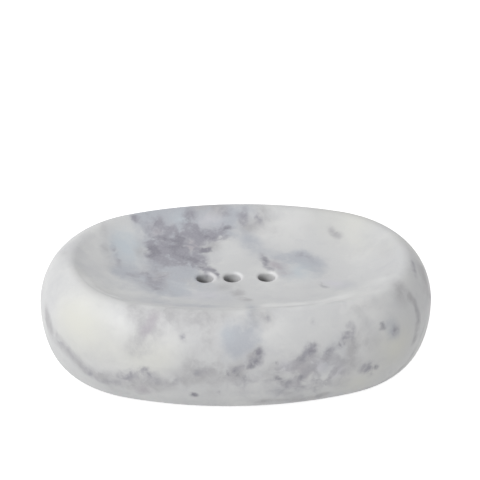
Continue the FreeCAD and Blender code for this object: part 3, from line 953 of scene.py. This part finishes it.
@dataclass(frozen=True)
class Marble:
    """Honed marble, solid right through the block.

    Args:
        name: The material's name.
        ground: The colour of the stone between its marks.
        casts: The slow changes in that colour.
        waves: What bends its marks, the largest waves first.
        swirl: What feathers them.
        web: The net of fine veins.
        bores: The drain holes, with their painted shade and highlights.
        grain: The crystals.
        roughness: How far the honed face spreads a reflection.
        wear: How much that changes over the face.
        wear_span: The size of those changes in millimetres.
    """

    name: str = "honed_marble"
    ground: Colour = (0.675, 0.68, 0.685)
    casts: Tuple[Cast, ...] = (
        Cast((0.76, 0.763, 0.757), span=24.0, low=0.40, high=0.66, most=1.0),
        Cast((0.575, 0.58, 0.605), span=15.0, low=0.48, high=0.74, most=0.5),
        Cast((0.575, 0.58, 0.605), span=5.0, low=0.50, high=0.78, most=0.4),
    )
    waves: Tuple[Wave, ...] = (Wave(14.0, 1.6), Wave(4.0, 0.9))
    swirl: Wave = Wave(6.0, 2.2)
    web: Web = Web()
    bores: Bores = Bores()
    grain: Grain = Grain()
    roughness: float = 0.46
    wear: float = 0.10
    wear_span: float = 6.0

    def build(self, surface: BVHTree) -> bpy.types.Material:
        """Make the material.

        Args:
            surface: The block.

        Returns:
            The material.
        """
        made, shader = material(self.name)
        place = shader.position()
        loose = place
        for wave in self.waves:
            loose = shader.drift(loose, wave)
        colour = self.bores.lay(shader, place, self.stone(shader, loose, surface))
        crystal = shader.noise(place, self.grain.span, Layers.CRISP)
        bright = self.grain.most * crystal.rise(self.grain.low, self.grain.high)
        shader.finish({
            "Base Color": shader.mix(bright, colour, self.grain.colour),
            "Roughness": self.roughness + self.wear * (shader.noise(place, self.wear_span) - NOISE_MEAN),
            "Normal": shader.bump(crystal, self.grain.depth, self.grain.relief),
        })
        return made

    def stone(self, shader: Shader, loose: Value, surface: BVHTree) -> Paint:
        """The white of the stone with its clouds and veins, and the painted highlights and shade drawn
        among them.

        Args:
            shader: The material.
            loose: Where on the piece, pushed about by the waves, in millimetres.
            surface: The block.

        Returns:
            Its colour.
        """
        swirl = shader.drift(loose, self.swirl)
        colour: Paint = self.ground
        for cast in self.casts:
            colour = cast.lay(shader, swirl, colour)
        threads = self.web.threads(shader, swirl)
        for tone, wash in WASHES.items():
            share = wash.share(shader, swirl, self.drawn(shader, loose, surface, tone))
            colour = shader.mix(share * threads if tone is Tone.WEB else share, colour, wash.colour)
        return colour

    @staticmethod
    def drawn(shader: Shader, loose: Value, surface: BVHTree, tone: Tone) -> Operand:
        """How strongly one tone is drawn, before it is feathered.

        Args:
            shader: The material.
            loose: Where on the piece, pushed about by the waves, in millimetres.
            surface: The block.
            tone: The tone.

        Returns:
            Its strength, between 0 and 1.
        """
        clear: Operand = 1.0
        for drawing in DRAWINGS.values():
            for spindle in drawing.spindles(surface, tone):
                clear = clear * (1 - spindle.strength(shader, loose))
        return 1 - clear


@dataclass(frozen=True)
class SoftPlastic:
    """A soft plastic, a little cloudy.

    Args:
        name: The material's name.
        clear: Its colour where it is clear.
        cloud: Its colour where it is cloudy.
        span: The size of the clouds in millimetres.
        roughness: How far it spreads a reflection where it is clear.
        low: The noise at which a cloud starts to show.
        high: The noise at which it is full.
        duller: How much further it spreads a reflection in a cloud.
    """

    name: str
    clear: Colour
    cloud: Colour
    span: float
    roughness: float
    low: float = 0.3
    high: float = 0.7
    duller: float = 0.2

    def build(self) -> bpy.types.Material:
        """Make the material.

        Returns:
            The material.
        """
        made, shader = material(self.name)
        haze = shader.noise(shader.position(), self.span)
        colour = shader.mix(haze.rise(self.low, self.high), self.clear, self.cloud)
        shader.finish({"Base Color": colour, "Roughness": self.roughness + self.duller * haze})
        return made


@dataclass
class Stone:
    """The marble block.

    Args:
        node: The solid that carries the finish.
        finish: The marble.
    """

    node: str = "stone_dish"
    finish: Marble = Marble()

    def dress(self) -> None:
        """Give the block its marble."""
        block = frame["nodes"][self.node]
        surface = BVHTree.FromObject(block, bpy.context.evaluated_depsgraph_get())
        block.data.materials[0] = self.finish.build(surface)
        LOG.info("%s: %s", self.node, self.finish.name)
        for name, drawing in DRAWINGS.items():
            LOG.info("%s: %s, %d marks", self.node, name, len(drawing.marks))


@dataclass
class Bumpers:
    """The four clear feet and the discs of adhesive that hold them.

    Args:
        corners: Where they are.
        foot: The finish of a foot.
        adhesive: The finish of a disc.
    """

    corners: Tuple[str, ...] = ("front_left", "front_right", "back_left", "back_right")
    foot: SoftPlastic = SoftPlastic(
        "clear_bumper", clear=(0.55, 0.56, 0.56), cloud=(0.66, 0.67, 0.67), span=2.5, roughness=0.22)
    adhesive: SoftPlastic = SoftPlastic(
        "adhesive_film", clear=(0.74, 0.73, 0.68), cloud=(0.66, 0.65, 0.60), span=1.5, roughness=0.4)

    def dress(self) -> None:
        """Give the feet and the adhesive their finishes."""
        for kind, finish in (("foot", self.foot), ("adhesive", self.adhesive)):
            made = finish.build()
            for corner in self.corners:
                node = f"{kind}_{corner}"
                frame["nodes"][node].data.materials[0] = made
                LOG.info("%s: %s", node, finish.name)


@dataclass(frozen=True)
class Lamp:
    """A round soft lamp.

    Args:
        name: What it is called.
        azimuth: Where it stands, in degrees from the front towards the right.
        elevation: How high it stands, in degrees.
        strength: How brightly it lights a white card that faces it.
        distance: How far it is from the dish, in metres.
        size: How wide it is, in metres.
    """

    name: str
    azimuth: float
    elevation: float
    strength: float
    distance: float = 0.9
    size: float = 0.5

    def build(self) -> None:
        """Hang it and turn it to the dish."""
        light = bpy.data.lights.new(self.name, "AREA")
        light.shape = "DISK"
        light.size = self.size
        # The power that lights a white card facing it from here to that strength
        light.energy = self.strength * (math.pi * self.distance) ** 2
        held = bpy.data.objects.new(self.name, light)
        bpy.context.scene.collection.objects.link(held)
        way = direction(self.azimuth, self.elevation)
        held.location = way * self.distance
        held.rotation_euler = (-way).to_track_quat("-Z", "Y").to_euler()
        LOG.info("%s: lamp", self.name)


@dataclass(frozen=True)
class WhiteTable:
    """The finish of the table, which shows white and keeps the dish's shadow.

    Args:
        grey: Its colour under the lamps.
        roughness: How far it spreads a reflection.
        glow: What it adds to that, so that it shows white.
        shade: The half sizes of the oval under the dish that doesn't glow, in millimetres.
        edge: Where the glow comes in, as shares of those half sizes.
    """

    grey: Colour = (0.6, 0.6, 0.6)
    roughness: float = 0.9
    glow: Colour = (0.85, 0.85, 0.85)
    shade: Tuple[float, float] = (46.0, 24.0)
    edge: Range = (0.9, 1.1)

    def build(self) -> bpy.types.Material:
        """Make the material.

        Returns:
            The material.
        """
        made, shader = material("white_table")
        share = shader.vector("DIVIDE", (shader.position(), (*self.shade, 1.0)))
        beyond = shader.vector("LENGTH", (share,), "Value").rise(*self.edge)
        glow = shader.mix(shader.seen() * beyond, BLACK, self.glow)
        shader.finish({"Base Color": self.grey, "Roughness": self.roughness,
                       "Emission Color": glow, "Emission Strength": 1.0})
        return made


@dataclass
class Studio:
    """The white table, the lamps, the room and the camera.

    Args:
        table: The table's finish.
        table_size: How wide the table is, in metres.
        lamps: The lamps.
        room_light: How brightly the room lights the dish.
    """

    table: WhiteTable = WhiteTable()
    table_size: float = 12.0
    lamps: Tuple[Lamp, ...] = (
        Lamp("key_front_left", azimuth=315, elevation=45, strength=0.288),
        Lamp("fill_left", azimuth=270, elevation=42, strength=0.168),
        Lamp("fill_front", azimuth=0, elevation=20, strength=0.092),
    )
    room_light: float = 0.484

    def build(self) -> None:
        """Set up the table, the lamps, the room and the camera."""
        self._table()
        for lamp in self.lamps:
            lamp.build()
        self._room()
        SHOT.build()
        bpy.context.scene.view_settings.view_transform = "Standard"

    def _table(self) -> None:
        """Lay the table that the dish stands on."""
        mesh = bpy.data.meshes.new("table")
        grid = bmesh.new()
        bmesh.ops.create_grid(grid, x_segments=1, y_segments=1, size=self.table_size / 2)
        grid.to_mesh(mesh)
        grid.free()
        mesh.materials.append(self.table.build())
        table = bpy.data.objects.new("table", mesh)
        bpy.context.scene.collection.objects.link(table)
        LOG.info("table: stage")

    def _room(self) -> None:
        """Put up a white room, which lends the dish about half of its light."""
        world = bpy.data.worlds.new("room")
        shader = Shader(world, "Background")
        strength = self.room_light + (1 - self.room_light) * shader.seen()
        shader.finish({"Color": WHITE, "Strength": strength})
        bpy.context.scene.world = world


def main() -> None:
    """Dress the dish and set up the studio."""
    logging.basicConfig(level=logging.INFO, format="%(name)s: %(message)s")
    Stone().dress()
    Bumpers().dress()
    Studio().build()
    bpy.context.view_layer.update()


if __name__ == "__main__":
    main()
